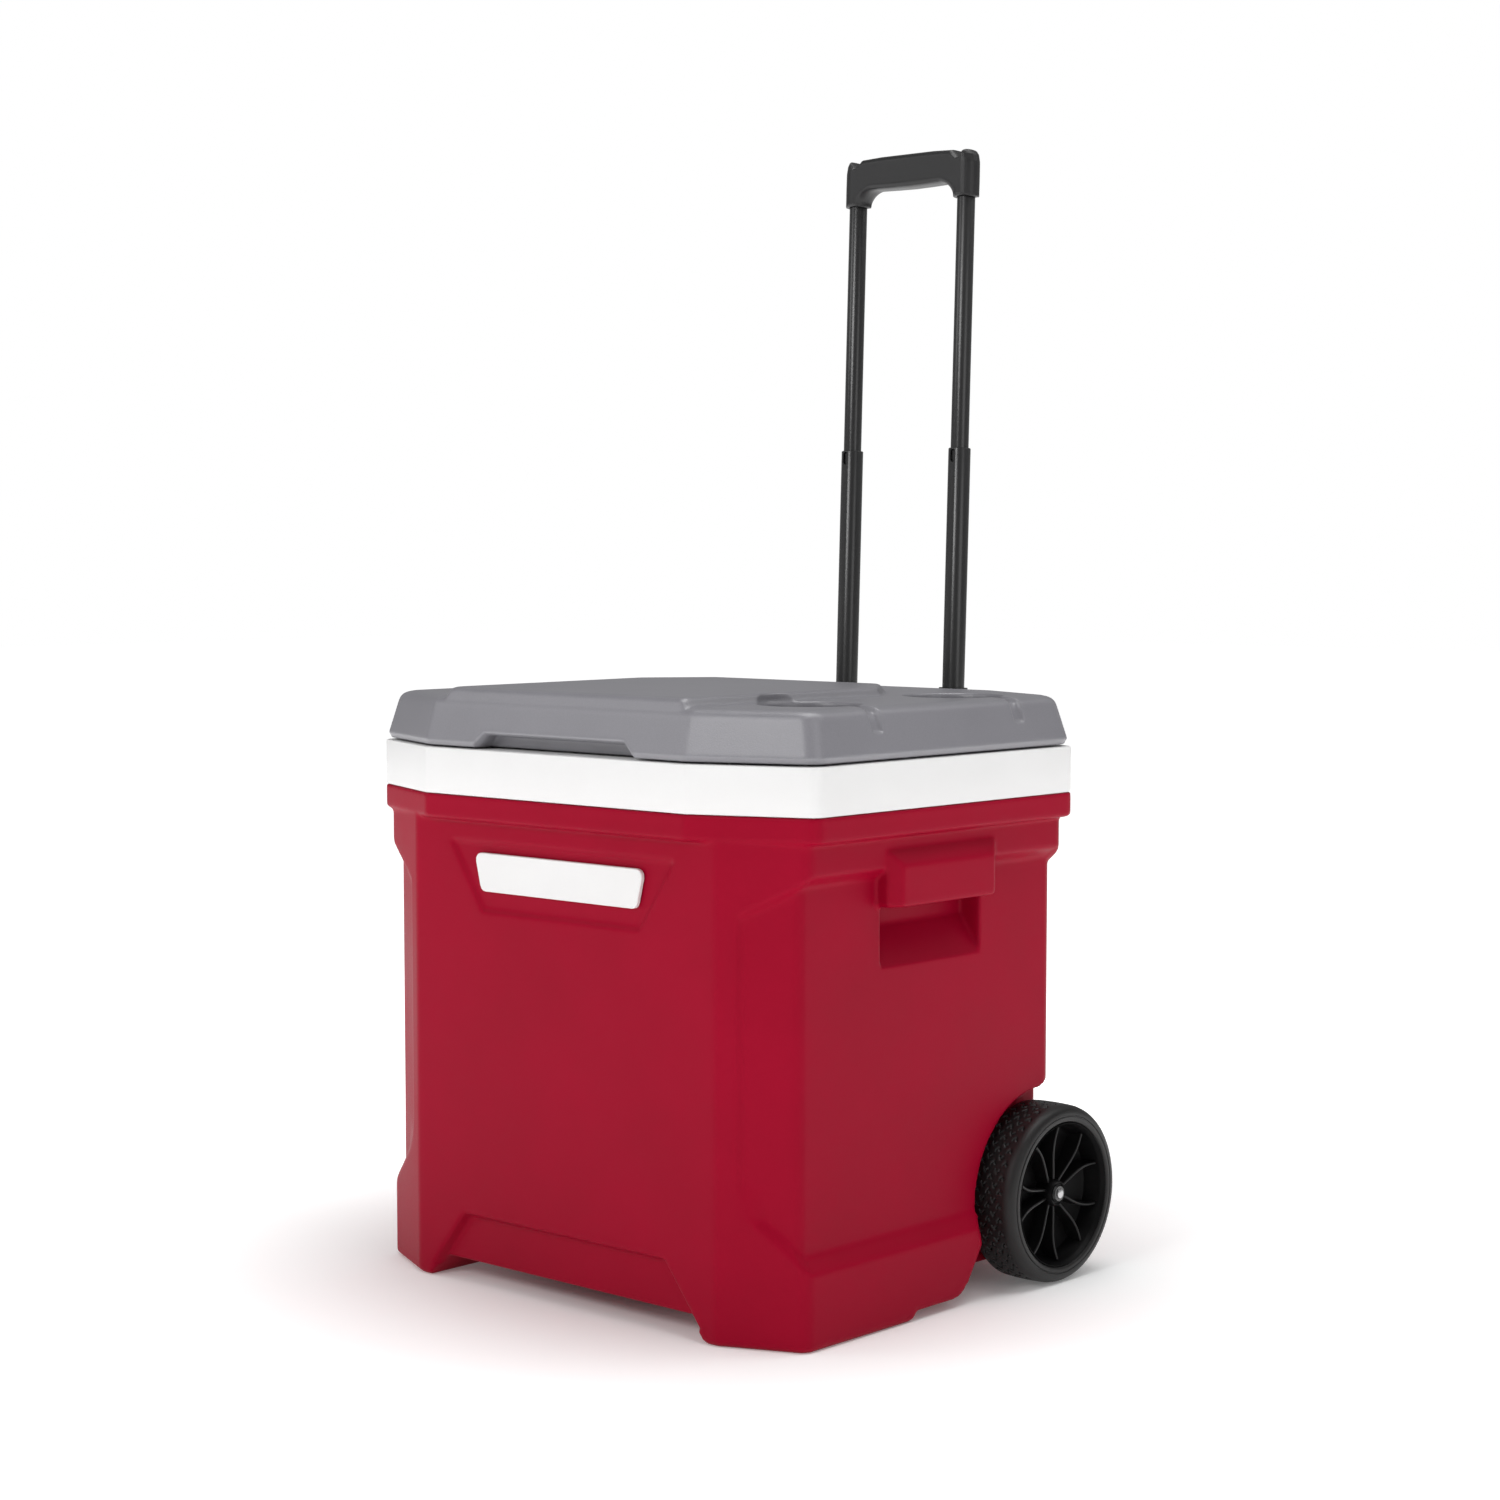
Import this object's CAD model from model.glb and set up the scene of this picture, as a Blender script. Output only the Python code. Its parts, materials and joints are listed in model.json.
"""Looks of the wheeled cooler chest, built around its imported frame.

Metres. +X is the right side seen from the front, -Y the front, +Z up.
"""

import json
import math

import bmesh
import bpy
from mathutils import Matrix, Vector


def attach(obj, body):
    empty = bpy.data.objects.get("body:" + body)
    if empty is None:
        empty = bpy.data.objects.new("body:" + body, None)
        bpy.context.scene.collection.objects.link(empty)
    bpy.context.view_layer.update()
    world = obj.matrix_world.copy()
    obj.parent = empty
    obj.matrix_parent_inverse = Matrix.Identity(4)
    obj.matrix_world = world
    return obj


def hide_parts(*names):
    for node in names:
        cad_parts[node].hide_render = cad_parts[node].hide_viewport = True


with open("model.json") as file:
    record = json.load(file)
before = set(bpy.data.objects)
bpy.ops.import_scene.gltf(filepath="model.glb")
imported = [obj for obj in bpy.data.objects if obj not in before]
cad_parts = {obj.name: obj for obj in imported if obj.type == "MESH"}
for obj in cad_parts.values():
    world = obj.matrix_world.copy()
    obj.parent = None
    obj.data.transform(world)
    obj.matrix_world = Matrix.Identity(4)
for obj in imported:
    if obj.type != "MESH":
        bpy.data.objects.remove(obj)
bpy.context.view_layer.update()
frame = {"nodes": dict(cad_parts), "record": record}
NODES = frame["nodes"]

# ---- dimensions shared with the CAD ---------------------------------------------------
FRONT = -0.2368              # front plane of the rim; depths are counted back from it
RIM_CUT = (0.1003, 0.0410)
BODY_HALF = 0.2410
BODY_DEPTH = (0.0099, 0.3980)
BODY_CUT = (0.0680, 0.0312)
PANEL_HALF = 0.2305
PANEL_SINK = 0.0065                         # depth of the sunk side panel, across its corner facets
PANEL_SLOPE = 0.0080                        # width of the slope down into it
WHEEL_R = 0.0757
WHEEL_DEPTH = 0.3521
SPOKES = 10
SIPES = 40                                  # cuts round the tread, in each of its rows
SIPE_ROWS = 5
SIPE_DEPTH = 0.0014
TUBE_X = 0.0630
DRAIN = (FRONT + 0.1150, 0.0610)            # centre of the drain, as (y, z)
DRAIN_BORE = 0.0125
CUPS = [(side * 0.1780, depth) for side in (-1, 1) for depth in (0.1150, 0.2975)]
CHANNELS = (0.1200, 0.3025)                 # run-off channels beside the cups, as depths
HANDLE = Matrix.Translation((0.0, FRONT + 0.4450, 0.5000)) @ Matrix.Rotation(math.radians(-2), 4, "X")
VOXEL = 0.0016
FINE = 0.0013


# ---- materials ------------------------------------------------------------------------
DRIFT_SCALE = 9.0
GLOSS_SPREAD = 0.06


def surface(name, colour, tint, rough, grain, relief, metallic=0.0, coat=0.0, stretch=(1.0, 1.0, 1.0),
            specular=0.2, flecks=0.0):
    """Moulded or coated finish: drifting colour, uneven gloss and a fine grain."""
    made = bpy.data.materials.new(name)
    made.use_nodes = True
    nodes, links = made.node_tree.nodes, made.node_tree.links
    shader = nodes["Principled BSDF"]
    shader.inputs["Metallic"].default_value = metallic
    shader.inputs["Coat Weight"].default_value = coat
    shader.inputs["Coat Roughness"].default_value = 0.25
    shader.inputs["Specular IOR Level"].default_value = specular
    place = nodes.new("ShaderNodeTexCoord")
    size = nodes.new("ShaderNodeMapping")
    size.inputs["Scale"].default_value = stretch
    links.new(place.outputs["Object"], size.inputs["Vector"])
    drift = nodes.new("ShaderNodeTexNoise")
    drift.inputs["Scale"].default_value = DRIFT_SCALE
    drift.inputs["Detail"].default_value = 5.0
    links.new(size.outputs["Vector"], drift.inputs["Vector"])
    fine = nodes.new("ShaderNodeTexNoise")
    fine.inputs["Scale"].default_value = grain
    fine.inputs["Detail"].default_value = 4.0
    fine.inputs["Roughness"].default_value = 0.6
    links.new(size.outputs["Vector"], fine.inputs["Vector"])
    both = nodes.new("ShaderNodeMix")
    both.inputs["Factor"].default_value = 0.35 + flecks
    links.new(drift.outputs["Fac"], both.inputs[2])
    links.new(fine.outputs["Fac"], both.inputs[3])
    ramp = nodes.new("ShaderNodeValToRGB")
    ramp.color_ramp.elements[0].position = 0.32
    ramp.color_ramp.elements[0].color = (*colour, 1.0)
    ramp.color_ramp.elements[1].position = 0.68
    ramp.color_ramp.elements[1].color = (*tint, 1.0)
    links.new(both.outputs[0], ramp.inputs["Fac"])
    links.new(ramp.outputs["Color"], shader.inputs["Base Color"])
    gloss = nodes.new("ShaderNodeMapRange")
    gloss.inputs["From Min"].default_value = 0.3
    gloss.inputs["From Max"].default_value = 0.7
    gloss.inputs["To Min"].default_value = rough - GLOSS_SPREAD
    gloss.inputs["To Max"].default_value = rough + GLOSS_SPREAD
    links.new(both.outputs[0], gloss.inputs["Value"])
    links.new(gloss.outputs["Result"], shader.inputs["Roughness"])
    bump = nodes.new("ShaderNodeBump")
    bump.inputs["Strength"].default_value = 1.0
    bump.inputs["Distance"].default_value = relief
    links.new(fine.outputs["Fac"], bump.inputs["Height"])
    links.new(bump.outputs["Normal"], shader.inputs["Normal"])
    return made


RED = surface("red_moulded", (0.300, 0.0008, 0.0175), (0.345, 0.0014, 0.0220), 0.42, 1300, 0.00010,
              specular=0.07)
GREY = surface("grey_moulded", (0.184, 0.180, 0.200), (0.225, 0.220, 0.243), 0.38, 900, 0.00016,
               specular=1.0, flecks=0.2)
WHITE = surface("white_moulded", (0.830, 0.825, 0.820), (0.870, 0.868, 0.865), 0.38, 1100, 0.00004)
BLACK = surface("black_moulded", (0.0075, 0.0073, 0.0078), (0.0130, 0.0126, 0.0134), 0.38, 1400, 0.00010,
                specular=0.5)
RIM = surface("black_wheel", (0.0022, 0.0021, 0.0023), (0.0045, 0.0043, 0.0046), 0.42, 1500, 0.00005,
              specular=0.1)
SPOKE = surface("black_spokes", (0.0040, 0.0038, 0.0041), (0.0070, 0.0067, 0.0071), 0.36, 1500, 0.00005,
                specular=0.28)
TYRE = surface("black_tyre", (0.0050, 0.0044, 0.0045), (0.0095, 0.0086, 0.0088), 0.44, 1000, 0.00012,
               specular=0.40)
TUBE = surface("black_coated_tube", (0.0080, 0.0080, 0.0085), (0.0125, 0.0125, 0.0130), 0.30, 2200, 0.00003,
               coat=0.5, stretch=(1.0, 1.0, 0.25), specular=0.5)
STEEL = surface("turned_steel", (0.48, 0.48, 0.49), (0.62, 0.62, 0.63), 0.32, 1800, 0.00003, metallic=1.0,
                stretch=(1.0, 0.2, 1.0))
FOAM = surface("insulation_foam", (0.70, 0.64, 0.44), (0.80, 0.75, 0.56), 0.90, 420, 0.00060)
SEAL = surface("seal_rubber", (0.012, 0.012, 0.012), (0.020, 0.020, 0.020), 0.70, 900, 0.00008)


# ---- mesh helpers -----------------------------------------------------------------------
def back(depth):
    """World Y of a point `depth` behind the rim's front plane."""
    return FRONT + depth


def piece(name, mesh, material, body, stands_for, sharp):
    """A visible piece with its finish, riding on a body.

    Edges past `sharp` degrees stay sharp. With 0 all of them are smooth.
    """
    mesh.name = name
    mesh.materials.clear()
    mesh.materials.append(material)
    mesh.shade_smooth()
    if sharp:
        mesh.set_sharp_from_angle(angle=math.radians(sharp))
    made = bpy.data.objects.new(name, mesh)
    bpy.context.scene.collection.objects.link(made)
    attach(made, body)
    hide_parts(*stands_for)


def to_mesh(work):
    """A mesh from a finished bmesh, with its faces turned outwards."""
    bmesh.ops.recalc_face_normals(work, faces=work.faces)
    mesh = bpy.data.meshes.new("solid")
    work.to_mesh(mesh)
    work.free()
    return mesh


def bridge(work, rings):
    """Faces between each ring of points and the next."""
    for here, there in zip(rings, rings[1:]):
        for index in range(len(here)):
            after = (index + 1) % len(here)
            work.faces.new((here[index], here[after], there[after], there[index]))


def loft(rings):
    """Closed solid through rings with equal numbers of points."""
    work = bmesh.new()
    made = [[work.verts.new(point) for point in ring] for ring in rings]
    work.faces.new(made[0])
    work.faces.new(made[-1])
    bridge(work, made)
    return to_mesh(work)


def levels(outlines, heights, along="Z"):
    """Solid through flat outlines at heights along an axis.

    An outline is (x, y) for Z, (y, z) for X and (x, z) for Y.
    """
    places = {"X": lambda u, v, h: (h, u, v), "Y": lambda u, v, h: (u, h, v), "Z": lambda u, v, h: (u, v, h)}
    place = places[along]
    return loft([[place(u, v, height) for u, v in outline] for outline, height in zip(outlines, heights)])


def prism(outline, low, high, along="Z"):
    """Straight solid on an outline, between two heights along an axis."""
    return levels([outline, outline], [low, high], along)


def inset(points, depth):
    """A counter-clockwise outline moved in on every edge, or out if the depth is negative."""
    result = []
    for index, corner in enumerate(points):
        before = (Vector(corner) - Vector(points[index - 1])).normalized()
        after = (Vector(points[(index + 1) % len(points)]) - Vector(corner)).normalized()
        first, second = Vector((-before.y, before.x)), Vector((-after.y, after.x))
        result.append(tuple(Vector(corner) + (first + second) / (1 + first.dot(second)) * depth))
    return result


def shrink(points, depth):
    """An outline drawn in towards its own middle line without crossing itself."""
    result = []
    area = sum(a[0] * b[1] - b[0] * a[1] for a, b in zip(points, points[1:] + points[:1]))
    turn = 1 if area > 0 else -1
    for index, corner in enumerate(points):
        before = (Vector(corner) - Vector(points[index - 1])).normalized()
        after = (Vector(points[(index + 1) % len(points)]) - Vector(corner)).normalized()
        normal = (Vector((-before.y, before.x)) + Vector((-after.y, after.x))).normalized() * turn
        result.append(tuple(Vector(corner) + normal * depth))
    return result


def octagon(half, depths, cuts, depth=0.0):
    """Plan of a box with its four corners cut off, counter-clockwise from the front left."""
    front, rear = back(depths[0]), back(depths[1])
    points = [(-half + cuts[0], front), (half - cuts[0], front),
              (half, front + cuts[1]), (half, rear - cuts[1]),
              (half - cuts[0], rear), (-half + cuts[0], rear),
              (-half, rear - cuts[1]), (-half, front + cuts[1])]
    return inset(points, depth)


def rounded(points, radius, steps=8):
    """An outline with each corner replaced by an arc."""
    result = []
    for index, corner in enumerate(points):
        here = Vector(corner)
        before = (Vector(points[index - 1]) - here).normalized()
        after = (Vector(points[(index + 1) % len(points)]) - here).normalized()
        half_angle = before.angle(after) / 2
        reach = radius / math.tan(half_angle)
        middle = here + (before + after).normalized() * radius / math.sin(half_angle)
        start = here + before * reach - middle
        turn = start.angle_signed(here + after * reach - middle)
        for step in range(steps + 1):
            arm = start.copy()
            arm.rotate(Matrix.Rotation(-turn * step / steps, 2))
            result.append(tuple(middle + arm))
    return result


def arc(centre, radius, start, end, steps):
    """Points on a circle between two angles in degrees, both included."""
    angles = [math.radians(start + (end - start) * step / steps) for step in range(steps + 1)]
    return [(centre[0] + radius * math.cos(a), centre[1] + radius * math.sin(a)) for a in angles]


def cylinder(radius, low, high, centre, along="Z"):
    """Straight round solid with 48 sides."""
    ring = [(centre[0] + radius * math.cos(2 * math.pi * i / 48),
             centre[1] + radius * math.sin(2 * math.pi * i / 48)) for i in range(48)]
    return prism(ring, low, high, along)


def box(low, high):
    (x0, y0, z0), (x1, y1, z1) = low, high
    return prism([(x0, y0), (x1, y0), (x1, y1), (x0, y1)], z0, z1)


def turned(profile, steps):
    """Surface turned about Z from a closed profile of (radius, z)."""
    work = bmesh.new()
    rings = []
    for radius, z in profile:
        rings.append([work.verts.new((radius * math.cos(2 * math.pi * i / steps),
                                      radius * math.sin(2 * math.pi * i / steps), z)) for i in range(steps)])
    bridge(work, rings + rings[:1])
    return to_mesh(work)


def evaluated(mesh, *steps):
    """A mesh after a list of (modifier type, {setting: value})."""
    holder = bpy.data.objects.new("work", mesh)
    bpy.context.scene.collection.objects.link(holder)
    for kind, settings in steps:
        step = holder.modifiers.new(kind.lower(), kind)
        for key, value in settings.items():
            setattr(step, key, value)
    drawn = holder.evaluated_get(bpy.context.evaluated_depsgraph_get())
    result = bpy.data.meshes.new_from_object(drawn)
    bpy.data.objects.remove(holder)
    return result


def carve(base, *steps):
    """A mesh after unions (+) and differences (-) with other meshes, in order."""
    tools = []
    work = []
    for sign, mesh in steps:
        tool = bpy.data.objects.new("tool", mesh)
        bpy.context.scene.collection.objects.link(tool)
        tools.append(tool)
        work.append(("BOOLEAN", {"operation": "UNION" if sign == "+" else "DIFFERENCE", "solver": "EXACT",
                                 "object": tool}))
    result = evaluated(base, *work)
    for tool in tools:
        bpy.data.objects.remove(tool)
    return result


def soften(mesh, size, rounds):
    """Moulded look: the mesh rebuilt in small even faces with every edge rounded."""
    return evaluated(mesh, ("REMESH", {"mode": "VOXEL", "voxel_size": size, "adaptivity": 0.0}),
                     ("SMOOTH", {"factor": 0.5, "iterations": rounds}))


# ---- camera, floor and light --------------------------------------------------------------
def studio():
    """Camera, white floor, pale surroundings and five soft lamps."""
    lens = bpy.data.cameras.new("camera")
    lens.lens = 68.64
    lens.sensor_width = 36.0
    camera = bpy.data.objects.new("camera", lens)
    camera.location = (1.6601, -1.8277, 0.6183)
    camera.rotation_euler = (math.radians(90 - 3.9986), 0.0, math.radians(42.184))
    bpy.context.scene.collection.objects.link(camera)
    bpy.context.scene.camera = camera

    floor = bpy.data.objects.new("floor", prism([(-14, -14), (14, -14), (14, 14), (-14, 14)], -0.02, 0.0))
    bpy.context.scene.collection.objects.link(floor)
    paper = bpy.data.materials.new("floor_paper")
    paper.use_nodes = True
    shader = paper.node_tree.nodes["Principled BSDF"]
    shader.inputs["Base Color"].default_value = (0.96, 0.96, 0.96, 1.0)
    shader.inputs["Roughness"].default_value = 0.9
    shader.inputs["Specular IOR Level"].default_value = 0.1
    shader.inputs["Emission Color"].default_value = (1.0, 1.0, 1.0, 1.0)
    place = paper.node_tree.nodes.new("ShaderNodeTexCoord")
    reach = paper.node_tree.nodes.new("ShaderNodeVectorMath")
    reach.operation = "LENGTH"
    fade = paper.node_tree.nodes.new("ShaderNodeMapRange")
    fade.inputs["From Min"].default_value = 0.15
    fade.inputs["From Max"].default_value = 0.90
    fade.inputs["To Max"].default_value = 0.78
    paper.node_tree.links.new(place.outputs["Object"], reach.inputs[0])
    paper.node_tree.links.new(reach.outputs["Value"], fade.inputs["Value"])
    paper.node_tree.links.new(fade.outputs["Result"], shader.inputs["Emission Strength"])
    floor.data.materials.append(paper)

    world = bpy.data.worlds.new("studio")
    bpy.context.scene.world = world
    world.use_nodes = True
    tree = world.node_tree
    sky = tree.nodes["Background"]
    sky.inputs["Color"].default_value = (1.0, 1.0, 1.0, 1.0)
    sky.inputs["Strength"].default_value = 0.27
    seen = tree.nodes.new("ShaderNodeBackground")
    seen.inputs["Color"].default_value = (1.0, 1.0, 1.0, 1.0)
    seen.inputs["Strength"].default_value = 1.0
    path = tree.nodes.new("ShaderNodeLightPath")
    mix = tree.nodes.new("ShaderNodeMixShader")
    tree.links.new(path.outputs["Is Camera Ray"], mix.inputs[0])
    tree.links.new(sky.outputs[0], mix.inputs[1])
    tree.links.new(seen.outputs[0], mix.inputs[2])
    tree.links.new(mix.outputs[0], tree.nodes["World Output"].inputs["Surface"])

    lamps = (("key", (0.2, -3.3, 2.3), (0.0, 0.0, 0.35), 1.3, 31.0),
             ("fill", (-2.4, -2.6, 2.2), (0.0, 0.0, 0.30), 1.5, 12.0),
             ("side", (3.4, -0.5, 1.6), (0.1, 0.0, 0.25), 1.8, 10.0),
             ("rear", (1.5, 1.7, 2.9), (0.1, 0.0, 0.20), 1.6, 12.0),
             ("top", (0.3, 0.2, 3.6), (0.0, 0.0, 0.0), 2.6, 58.0))
    for name, place, aim, size, power in lamps:
        light = bpy.data.lights.new(name, "AREA")
        light.shape = "DISK"
        light.size = size
        light.energy = power
        lamp = bpy.data.objects.new(name, light)
        lamp.location = place
        lamp.rotation_euler = (Vector(aim) - Vector(place)).to_track_quat("-Z", "Y").to_euler()
        bpy.context.scene.collection.objects.link(lamp)
    bpy.context.scene.view_settings.view_transform = "Standard"


# ---- chest ---------------------------------------------------------------------------------
def wall_rings():
    """Plan points of the body's wall, each with its sunk place and its length along the corner facet."""
    outer = octagon(BODY_HALF, BODY_DEPTH, BODY_CUT)
    nose = Vector((BODY_CUT[1], -BODY_CUT[0])).normalized()
    inner = []
    for x, y in outer:
        if abs(x) > 0.24:
            middle = back(sum(BODY_DEPTH) / 2)
            up = 1 if y > middle else -1
            line = nose.x * BODY_HALF - nose.y * abs(y - middle) - PANEL_SINK
            away = (line - nose.x * PANEL_HALF) / -nose.y
            inner.append((math.copysign(PANEL_HALF, x), middle + up * away))
        else:
            inner.append((x - math.copysign(nose.x * PANEL_SINK, x), y))
    first, second = rounded(outer, 0.0120), rounded(inner, 0.0120)
    points = []
    count = len(first)
    for index in range(count):
        a, b = Vector(first[index]), Vector(first[(index + 1) % count])
        c, d = Vector(second[index]), Vector(second[(index + 1) % count])
        parts = max(1, round((b - a).length / 0.0040)) if min(abs(a.x), abs(b.x)) > 0.16 else 1
        for part in range(parts):
            share = part / parts
            points.append((a.lerp(b, share), c.lerp(d, share)))
    return points


def rim_plan(depth=0.0):
    """Plan of the rim, or of a line `depth` inside it."""
    return rounded(octagon(0.2500, (0.0, 0.4120), RIM_CUT, depth), 0.0120)


def panel_share(point, z):
    """How far the side panel is sunk at a place on the wall, from 0 to 1."""
    middle = back(sum(BODY_DEPTH) / 2)
    span = (BODY_DEPTH[1] - BODY_DEPTH[0]) / 2 - BODY_CUT[1]
    beyond = abs(point.y - middle) - span
    along = beyond * math.hypot(*BODY_CUT) / BODY_CUT[1] if beyond > 0 else beyond
    start = 0.0583                     # facet length from the side's edge to the panel's front edge
    drop, slant = 0.0300, 0.0640       # height and length of the panel's cut corners
    top, bottom = 0.3690 - z, (z - 0.0605) * 0.62
    ends = start - along
    rise = drop / math.hypot(drop, slant)
    run = slant / math.hypot(drop, slant)
    corner_top = top * run + (ends - slant) * rise
    corner_bottom = bottom * run + (ends - slant) * rise
    return max(0.0, min(1.0, min(top, bottom, ends, corner_top, corner_bottom) / PANEL_SLOPE))


def well_outline():
    """Side outline of the space around a wheel, open to the rear and below."""
    centre = (back(WHEEL_DEPTH), WHEEL_R)
    return ([(back(0.46), 0.1720), (centre[0] + 0.02, 0.1720)] + arc(centre, 0.0880, 90, 194, 26)
            + [(back(0.2440), 0.0200), (back(0.2440), -0.02), (back(0.46), -0.02)])


def carry_block(side):
    """Moulded block that the fingers hook behind."""
    middle = back(0.2040)
    rings = []
    for x, half, low, high in ((0.2200, 0.0705, 0.3375, 0.3900), (0.2420, 0.0690, 0.3375, 0.3830),
                               (0.2485, 0.0606, 0.3378, 0.3735), (0.2502, 0.0585, 0.3392, 0.3705)):
        outline = rounded([(middle - half, low), (middle + half, low), (middle + half, high),
                           (middle - half, high)], 0.0030, 4)
        rings.append([(side * x, y, z) for y, z in outline])
    return loft(rings)


def heel_chamfer(side):
    """Cutter for the slanted end of the lower ledge, ahead of the wheel."""
    low = [(0.2416, 0.2660), (0.2420, 0.2654), (0.2600, 0.2654), (0.2600, 0.3000), (0.2416, 0.3000)]
    high = [(PANEL_HALF, 0.2668), (0.2420, 0.2505), (0.2600, 0.2505), (0.2600, 0.3000), (PANEL_HALF, 0.3000)]
    return levels([[(side * x, back(depth)) for x, depth in outline] for outline in (low, high)],
                  [0.0300, 0.0680])


def pocket(side):
    """Finger pocket: a scoop that runs up behind the carry block."""
    outline = [(0.2650, 0.2880), (PANEL_HALF, 0.2880), (0.2100, 0.3200), (0.2100, 0.3560), (0.2420, 0.3560),
               (0.2420, 0.3376), (0.2650, 0.3376)]
    if side < 0:
        outline = [(-x, z) for x, z in reversed(outline)]
    return prism(outline, back(0.1405), back(0.2676), "Y")


def recess(outline, sink, slope, face):
    """Cutter for a sunk area in the front face, with sloping sides."""
    wide = inset(outline, -slope - 0.004 * slope / sink)
    return levels([wide, outline], [face - 0.004, face + sink], "Y")


def chest():
    """Red shell: lofted wall and lip, less the wells, pockets, recesses and the tub's space."""
    ring = wall_rings()
    heights = [0.0, 0.0035, 0.0300, 0.0560]
    heights += [0.0600 + 0.003 * step for step in range(15)] + [0.13, 0.20, 0.26]
    heights += [0.3270 + 0.003 * step for step in range(16)] + [0.3830, 0.3952]
    rings = []
    for z in heights:
        rings.append([])
        for outer, inner in ring:
            spot = outer.lerp(inner, panel_share(outer, z))
            if z == 0.0:
                spot = spot * (1 - 0.0035 / 0.24)
            rings[-1].append((spot.x, spot.y, z))
    wall = loft(rings)
    lip, lip_low = rim_plan(), rim_plan(0.0025)
    under = [(-0.1610, -0.01), (0.1610, -0.01), (0.1610, 0.0), (0.1460, 0.0180),
             (-0.1460, 0.0180), (-0.1610, 0.0)]
    heel = ([(back(0.1700), -0.01), (back(0.1700), 0.0), (back(0.1760), 0.0080)]
            + arc((back(0.2240), 0.0280), 0.0200, -90, -32, 8)
            + [(back(0.2440), 0.0182), (back(0.46), 0.0182), (back(0.46), -0.01)])
    steps = [("+", levels([lip_low, lip, lip], [0.3942, 0.3965, 0.4150])),
             ("-", prism(under, back(-0.01), back(0.46), "Y")), ("-", prism(heel, -0.27, 0.27, "X"))]
    for side in (-1, 1):
        low, high = sorted((side * 0.2060, side * 0.27))
        steps += [("-", prism(well_outline(), low, high, "X")), ("-", heel_chamfer(side)),
                  ("+", carry_block(side)), ("-", pocket(side))]
    face = back(BODY_DEPTH[0])
    arch = [(-0.1500, 0.0130), (0.1500, 0.0130), (0.1150, 0.0570), (-0.1150, 0.0570)]
    badge = [(-0.0900, 0.3205), (0.0900, 0.3205), (0.1270, 0.3755), (-0.1270, 0.3755)]
    steps += [("-", recess(arch, 0.0088, 0.0040, face)), ("-", recess(badge, 0.0022, 0.0022, face)),
              ("-", cylinder(0.0205, -0.2700, -PANEL_HALF, DRAIN, "X")),
              ("-", cylinder(DRAIN_BORE, -0.2700, -0.2000, DRAIN, "X"))]
    steps += [("-", hollow) for hollow in tub_levels(0.0030, 0.0390, 0.5000, 0.0)]
    body = soften(carve(wall, *steps), VOXEL, 5)
    piece("shell", body, RED, "chest", ["body_shell"], sharp=0)


def tub_levels(grow, floor, top, flare):
    """Stepped inside of the tub as two solids: over the axle step, and in front of it."""
    def plan(rear, depth):
        front, far, wide = back(0.0400) - grow, back(rear) + grow, 0.2040 + grow
        return rounded([(-wide + depth, front + depth), (wide - depth, front + depth),
                        (wide - depth, far - depth), (-wide + depth, far - depth)], 0.0220 + grow, 8)
    step = 0.2000 - grow
    upper = levels([plan(0.3700, 0.006), plan(0.3700, 0.0018), plan(0.3700, 0.0), plan(0.3700, 0.0),
                    plan(0.3700, -flare), plan(0.3700, -flare)],
                   [step, step + 0.0020, step + 0.0070, top - 0.0040, top, top + 0.02])
    lower = levels([plan(0.2350, 0.006), plan(0.2350, 0.0018), plan(0.2350, 0.0), plan(0.2350, 0.0)],
                   [floor, floor + 0.0020, floor + 0.0070, 0.2500])
    return upper, lower


def tub():
    """White tub with its rim band, folded over the shell's edge."""
    sides = ((0.4153, 0.0012), (0.4158, 0.0002), (0.4166, 0.0), (0.4526, 0.0), (0.4535, 0.0004),
             (0.4540, 0.0014))
    band = levels([rim_plan(depth) for _, depth in sides], [z for z, _ in sides])
    fold = prism(rim_plan(0.0035), 0.4100, 0.4505)
    wall = tub_levels(0.0025, 0.0395, 0.4520, 0.0)
    space = tub_levels(0.0, 0.0420, 0.4540, 0.0022)
    above = box((-0.3, -0.3, 0.4542), (0.3, 0.3, 0.5))
    drain = cylinder(DRAIN_BORE, -0.2600, -0.1900, DRAIN, "X")
    mesh = carve(band, ("-", fold), ("+", wall[0]), ("+", wall[1]), ("-", above), ("-", space[0]),
                 ("-", space[1]), ("-", drain))
    piece("tub", mesh, WHITE, "chest", ["inner_liner"], sharp=28)


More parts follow.
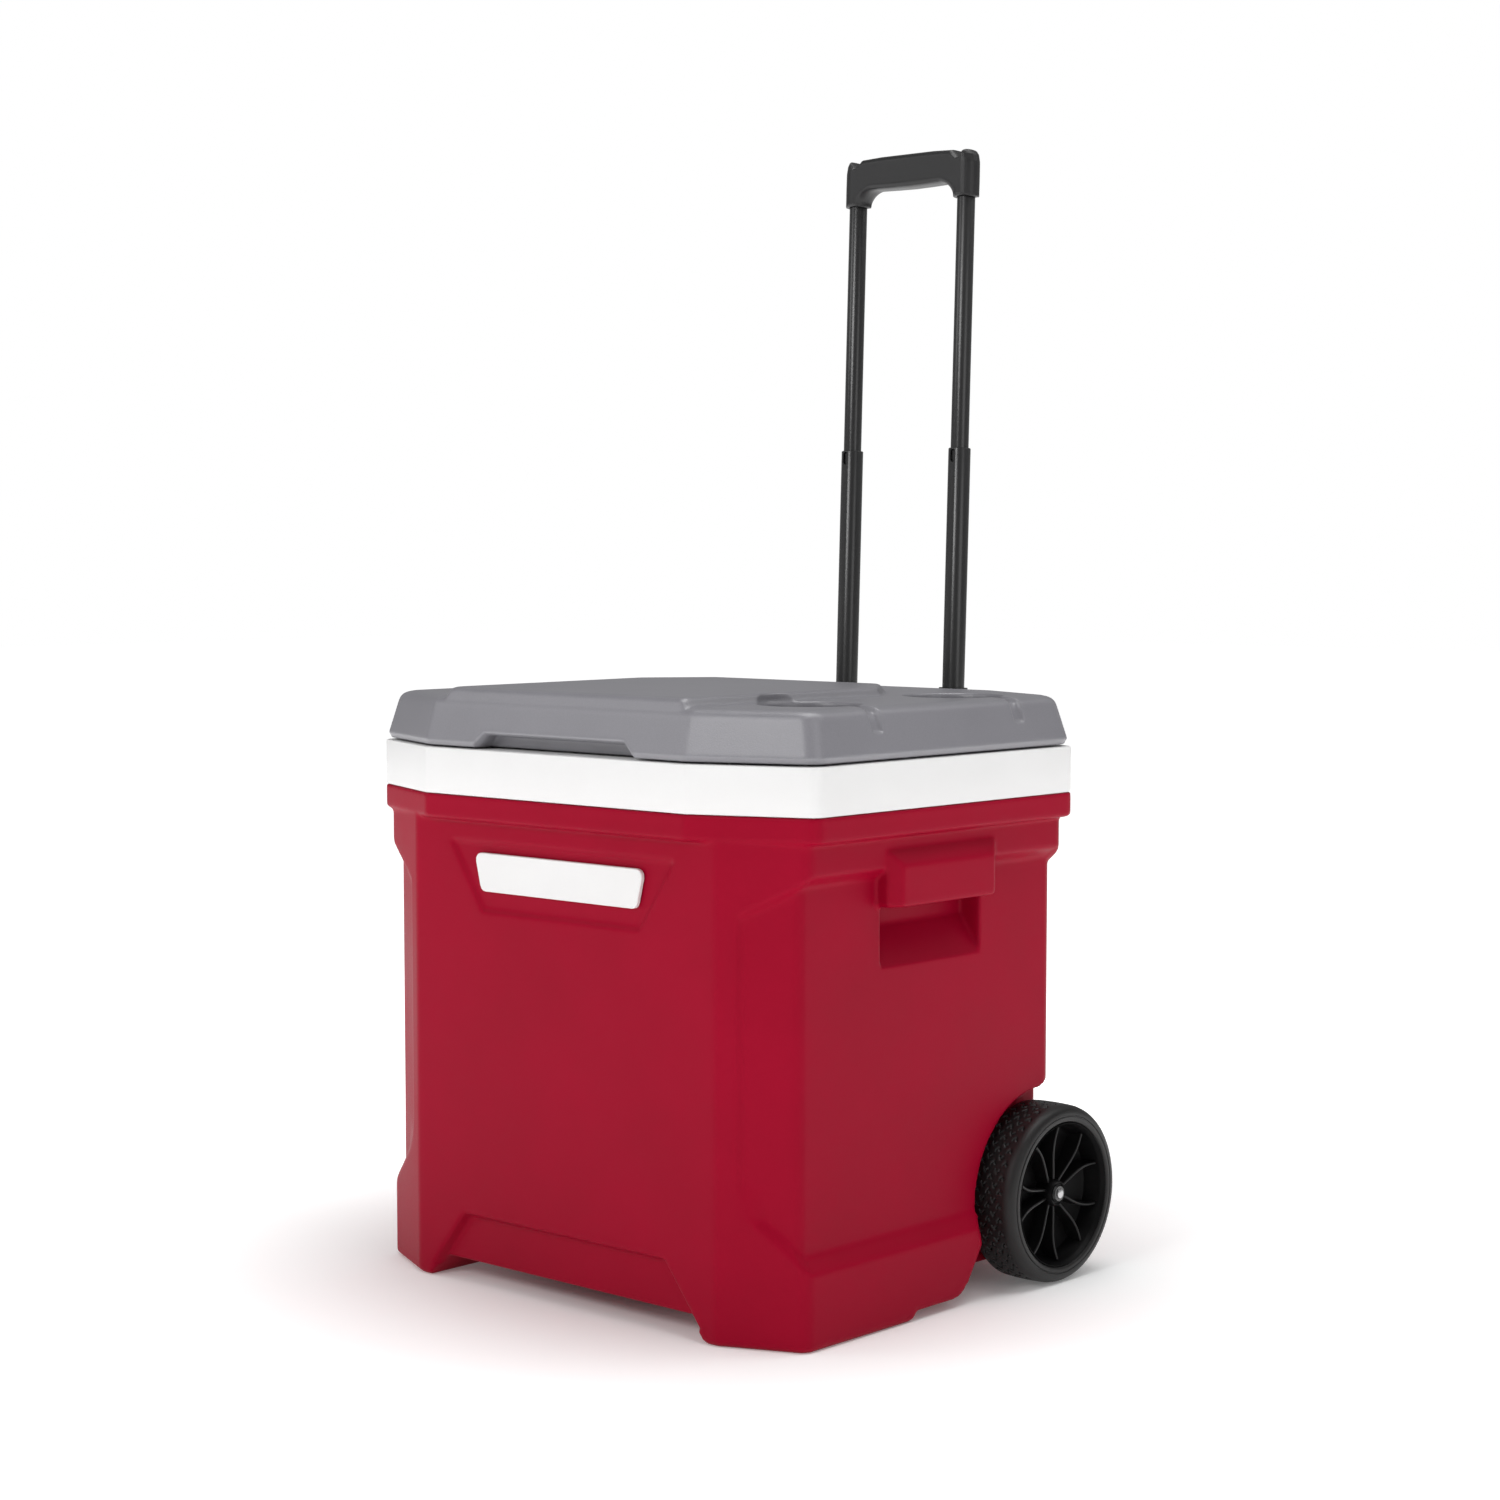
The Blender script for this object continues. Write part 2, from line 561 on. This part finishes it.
# ---- lid -----------------------------------------------------------------------------------
def lid():
    """Grey lid skin: raised middle, cups, channels, finger recess and hinge notches, open below."""
    def plan(depth, radius=0.0180):
        return rounded(octagon(0.2490, (0.0010, 0.4100), RIM_CUT, depth), radius)
    sides = [(0.4556, 0.0016), (0.4582, 0.0016), (0.4592, 0.0004), (0.4602, 0.0), (0.4615, 0.0003),
             (0.4885, 0.0076), (0.4918, 0.0090), (0.4942, 0.0112), (0.4957, 0.0142), (0.4966, 0.0180),
             (0.4969, 0.0225)]
    base = levels([plan(depth) for _, depth in sides], [z for z, _ in sides])
    top = []
    for z, front, trim in ((0.4850, 0.0086, -0.0060), (0.4965, 0.0120, 0.0000), (0.5012, 0.0138, 0.0026),
                           (0.5030, 0.0158, 0.0036), (0.5040, 0.0188, 0.0052), (0.5043, 0.0235, 0.0080)):
        right = [(0.1390 - trim, back(front)), (0.1440 - trim, back(0.2450)),
                 (0.1000 - trim, back(0.3050 - trim))]
        outline = right + [(-x, y) for x, y in reversed(right)]
        top.append([(x, y, z) for x, y in rounded(outline, 0.0060, 4)])
    steps = [("+", loft(top))]
    for x, depth in CUPS:
        centre = (x, back(depth))
        rings = []
        for z, radius in ((0.4760, 0.0370), (0.4768, 0.0392), (0.4790, 0.0404), (0.4945, 0.0410),
                          (0.4962, 0.0417), (0.4972, 0.0430), (0.5200, 0.0440)):
            rings.append([(u, v, z) for u, v in arc(centre, radius, 0, 355, 71)])
        steps.append(("-", loft(rings)))
    grip = [(-0.0990, 0.4500), (0.0990, 0.4500), (0.0815, 0.4690), (-0.0815, 0.4690)]
    near, far = back(-0.01), back(0.0200)
    steps.append(("-", levels([inset(grip, -0.0100), grip, inset(grip, 0.0028), inset(grip, 0.0030)],
                              [near, back(0.0020), back(0.0075), far], "Y")))
    for side in (-1, 1):
        for depth in CHANNELS:
            rings = []
            for offset, rise in ((-0.0090, 0.0085), (-0.0060, 0.0), (0.0062, 0.0), (0.0068, 0.0085)):
                outline = [(0.2080, 0.4945), (0.2345, 0.4915), (0.2375 - 0.3 * rise, 0.4870),
                           (0.2415, 0.4770), (0.2700, 0.4700), (0.2700, 0.5200), (0.2080, 0.5200)]
                spot = back(depth) + offset
                rings.append([(side * (x + (rise if x < 0.26 else 0.0)), spot,
                               z + (rise if z < 0.51 else 0.0)) for x, z in outline])
            steps.append(("-", loft(rings)))
        middle = side * 0.1180
        notch = box((middle - 0.0250, back(0.3925), 0.4400), (middle + 0.0250, back(0.4300), 0.4875))
        steps.append(("-", notch))
    under = plan(0.0155, 0.0110)
    grip_wall = prism(inset(grip, -0.0030), near, far + 0.0030, "Y")
    steps.append(("-", carve(prism(under, 0.4500, 0.4590), ("-", grip_wall))))
    mesh = soften(carve(base, *steps), FINE, 3)
    piece("lid", mesh, GREY, "lid", ["lid_shell"], sharp=0)


# ---- handle --------------------------------------------------------------------------------
def on_handle(mesh, x=0.0):
    """A mesh made along Z, set into the leaning handle."""
    mesh.transform(HANDLE @ Matrix.Translation((x, 0.0, 0.0)))
    return mesh


def tubes():
    """Three stages of handle tube on each side, the upper two with their lock windows."""
    sets = (("outer_tube", 0.0120, 0.0105, -0.3100, -0.0140, "chest"),
            ("mid_tube", 0.0100, 0.0086, -0.0800, 0.2100, "middle_stage"),
            ("top_tube", 0.0081, 0.0069, 0.1400, 0.4485, "top_stage"))
    for name, outer, inner, low, high, body in sets:
        for side, word in ((-1, "left"), (1, "right")):
            mesh = turned([(outer, low + 0.0005), (outer, high - 0.0008), (outer - 0.0003, high - 0.0002),
                           (outer - 0.0008, high), (inner, high), (inner, low), (outer - 0.0005, low)], 64)
            if name != "outer_tube":
                window = rounded([(-0.0029, 0.1972), (0.0029, 0.1972), (0.0029, 0.2090), (-0.0029, 0.2090)],
                                 0.0028, 6)
                mesh = carve(mesh, ("-", prism(window, -0.0200, -0.0010, "Y")))
            piece(f"{name}_{word}_fine", on_handle(mesh, side * TUBE_X), TUBE, body,
                  [f"{name}_{word}"], sharp=30)


def grip():
    """Moulded grip: a crowned bar between two round sleeves, hollow for the button and its yoke."""
    low, yoke, sleeve = 0.4340, 0.4530, 0.0121
    right = [(0.0300, low + 0.0436), (0.0523, low + 0.0426), (0.0555, low + 0.0396), (0.0590, low + 0.0360),
             (0.0612, low + 0.0362), (0.0645, low + 0.0408), (0.0672, low + 0.0424), (0.0700, low + 0.0412),
             (0.0730, low + 0.0378), (0.0746, low + 0.0310), (0.0748, low + 0.0150), (0.0746, low)]
    under = [(0.0512, low)] + arc((0.0384, low + 0.0008), 0.0132, 14, 88, 8) \
        + [(0.0200, low + 0.0134), (0.0, low + 0.0130)]
    half = right + under
    outline = [(-x, z) for x, z in half[:-1]] + half[::-1]
    rings = []
    for y, trim in ((-0.0119, 0.0046), (-0.0114, 0.0030), (-0.0104, 0.0016), (-0.0088, 0.0007),
                    (-0.0066, 0.0002), (-0.0038, 0.0), (0.0, 0.0)):
        round_off = 1 - math.sqrt(1 - (y / sleeve) ** 2)
        ring = []
        for x, z in shrink(outline, trim):
            local = abs(x) - TUBE_X
            share = 1.0 if local > 0 else max(0.0, min(1.0, (low + 0.0150 - z) / 0.0150))
            ring.append((math.copysign(TUBE_X + local * (1 - share * round_off), x), y, z))
        rings.append(ring)
    rings += [[(x, -y, z) for x, y, z in ring] for ring in reversed(rings[:-1])]
    hollow = [(TUBE_X + 0.0045, yoke - 0.0038), (TUBE_X + 0.0045, yoke + 0.0055), (0.0210, yoke + 0.0055),
              (0.0210, yoke + 0.0100)]
    space = prism(hollow + [(-x, z) for x, z in reversed(hollow)], -0.0074, 0.0074, "Y")
    steps = [("-", space), ("-", box((-0.0129, -0.0055, yoke), (0.0129, 0.0055, low + 0.0536)))]
    for side in (-1, 1):
        steps.append(("-", cylinder(0.0084, low - 0.01, yoke - 0.0030, (side * TUBE_X, 0.0))))
    mesh = soften(carve(loft(rings), *steps), 0.0006, 5)
    piece("grip", on_handle(mesh), BLACK, "top_stage", ["grip_front", "grip_rear"], sharp=0)


# ---- wheels --------------------------------------------------------------------------------
def on_wheel(mesh, side):
    """A mesh turned about Z, set on the axle of one side."""
    turn = Matrix.Rotation(math.radians(90 * side), 4, "Y")
    mesh.transform(Matrix.Translation((0.0, back(WHEEL_DEPTH), WHEEL_R)) @ turn)
    return mesh


def tread(angle, across):
    """Depth of the sipes at a place on the tyre: zigzag cuts in staggered rows."""
    pitch = 2 * math.pi / SIPES
    row = math.floor(across * SIPE_ROWS)
    inside = across * SIPE_ROWS - row
    if row < 0 or row >= SIPE_ROWS:
        return 0.0
    zig = 0.34 * (abs(inside - 0.5) * 2 - 0.5)
    phase = angle / pitch + zig * (1 if row % 2 else -1) + 0.5 * (row % 2)
    gap = abs(phase - round(phase)) * pitch * WHEEL_R
    cut = max(0.0, 1 - gap / 0.0014)
    edge = min(inside, 1 - inside)
    return SIPE_DEPTH * min(1.0, cut * 2) * min(1.0, edge * 7)


def tyre_mesh(inner, outer):
    """Tyre between two distances from the middle of the axle, with its cut tread."""
    profile = [(0.0613, outer - 0.0016), (0.0622, outer - 0.0004), (0.0640, outer), (0.0656, outer - 0.0001),
               (0.0660, outer - 0.0008), (0.0668, outer - 0.0008), (0.0672, outer - 0.0002),
               (0.0690, outer - 0.0003), (0.0712, outer - 0.0010), (0.0730, outer - 0.0024),
               (0.0744, outer - 0.0048), (0.0752, outer - 0.0080)]
    steps = 720
    rows = 30
    first, last = outer - 0.0095, inner + 0.0060
    profile += [(None, first + (last - first) * row / rows) for row in range(rows + 1)]
    profile += [(0.0750, inner + 0.0030), (0.0738, inner + 0.0010), (0.0720, inner), (0.0613, inner)]
    work = bmesh.new()
    rings = []
    for radius, z in profile:
        ring = []
        for index in range(steps):
            angle = 2 * math.pi * index / steps
            here = radius
            if radius is None:
                across = (z - last) / (first - last)
                here = WHEEL_R - 0.0004 * (2 * across - 1) ** 2 - tread(angle, across)
            ring.append(work.verts.new((here * math.cos(angle), here * math.sin(angle), z)))
        rings.append(ring)
    bridge(work, rings + rings[:1])
    return to_mesh(work)


def spoke(angle, bend, outer):
    """Thin curved rib of the wheel, standing in its dish."""
    rings = []
    for step in range(13):
        share = step / 12
        radius = 0.0100 + 0.0465 * share
        turn = angle + bend * math.sin(math.pi * share)
        crest = outer - 0.0112 + 0.0048 * share
        half = 0.0011 / radius
        ring = []
        for swing, z in ((-half * 1.5, outer - 0.0250), (half * 1.5, outer - 0.0250), (half, crest - 0.0006),
                         (half * 0.4, crest), (-half * 0.4, crest), (-half, crest - 0.0006)):
            ring.append((radius * math.cos(turn + swing), radius * math.sin(turn + swing), z))
        rings.append(ring)
    return loft(rings)


def wheels():
    """Tyre, rim and ribs of both wheels, and the axle between them."""
    inner, outer = 0.2131, 0.2576               # sides of a wheel, from the middle of the axle
    bore = 0.0043
    for side, word in ((-1, "left"), (1, "right")):
        body, slot = "wheel_" + word, "black_plastic"
        piece("tyre_" + word + "_fine", on_wheel(tyre_mesh(inner, outer), side), TYRE, body,
              ["tyre_" + word], sharp=50)
        profile = [(0.0610, outer - 0.0016), (0.0610, inner + 0.0015), (0.0575, inner + 0.0015),
                   (0.0550, outer - 0.0260), (0.0130, outer - 0.0260), (0.0130, inner + 0.0060),
                   (bore, inner + 0.0060), (bore, outer - 0.0080), (0.0086, outer - 0.0080),
                   (0.0092, outer - 0.0070), (0.0100, outer - 0.0068), (0.0106, outer - 0.0074),
                   (0.0118, outer - 0.0120), (0.0122, outer - 0.0225), (0.0150, outer - 0.0236),
                   (0.0500, outer - 0.0210), (0.0540, outer - 0.0190), (0.0562, outer - 0.0120),
                   (0.0582, outer - 0.0058), (0.0588, outer - 0.0034), (0.0594, outer - 0.0028),
                   (0.0598, outer - 0.0012), (0.0603, outer - 0.0007), (0.0607, outer - 0.0009)]
        piece("rim_" + word + "_fine", on_wheel(turned(profile, 96), side), RIM, body,
              ["wheel_rim_" + word], sharp=35)
        work = bmesh.new()
        for index in range(SPOKES):
            work.from_mesh(spoke(2 * math.pi * index / SPOKES, 0.10 if index % 2 else -0.10, outer))
        ribs = bpy.data.meshes.new("spokes")
        work.to_mesh(ribs)
        work.free()
        piece("spokes_" + word, on_wheel(ribs, side), SPOKE, body, ["wheel_rim_" + word], sharp=35)
    reach = outer - 0.0035
    half = [(0.0040, reach - 0.0012), (0.0038, reach - 0.0005), (0.0029, reach), (0.0003, reach)]
    shaft = turned(half + [(radius, -z) for radius, z in reversed(half)], 48)
    piece("axle_fine", on_wheel(shaft, 1), STEEL, "chest", ["axle"], sharp=35)


# ---- pieces that keep their CAD shape ---------------------------------------------------
def finish_nodes():
    """Better finishes, and soft edges, for the CAD pieces that stay."""
    finishes = {"shell_red": RED, "lid_grey": GREY, "liner_white": WHITE, "insulation": FOAM,
                "black_plastic": BLACK, "tyre_black": TYRE, "seal_rubber": SEAL, "black_tube": TUBE,
                "steel": STEEL}
    slots = {part["node"]: part["material_slot"] for part in frame["record"]["subparts"]}
    for name, node in NODES.items():
        node.data.materials.clear()
        node.data.materials.append(finishes[slots[name]])
        node.data.shade_smooth()
        node.data.set_sharp_from_angle(angle=math.radians(40))
        edge = node.modifiers.new("soft_edge", "BEVEL")
        edge.width = 0.0004
        edge.segments = 2
        edge.limit_method = "ANGLE"
        edge.angle_limit = math.radians(40)


studio()
chest()
tub()
lid()
tubes()
grip()
wheels()
finish_nodes()
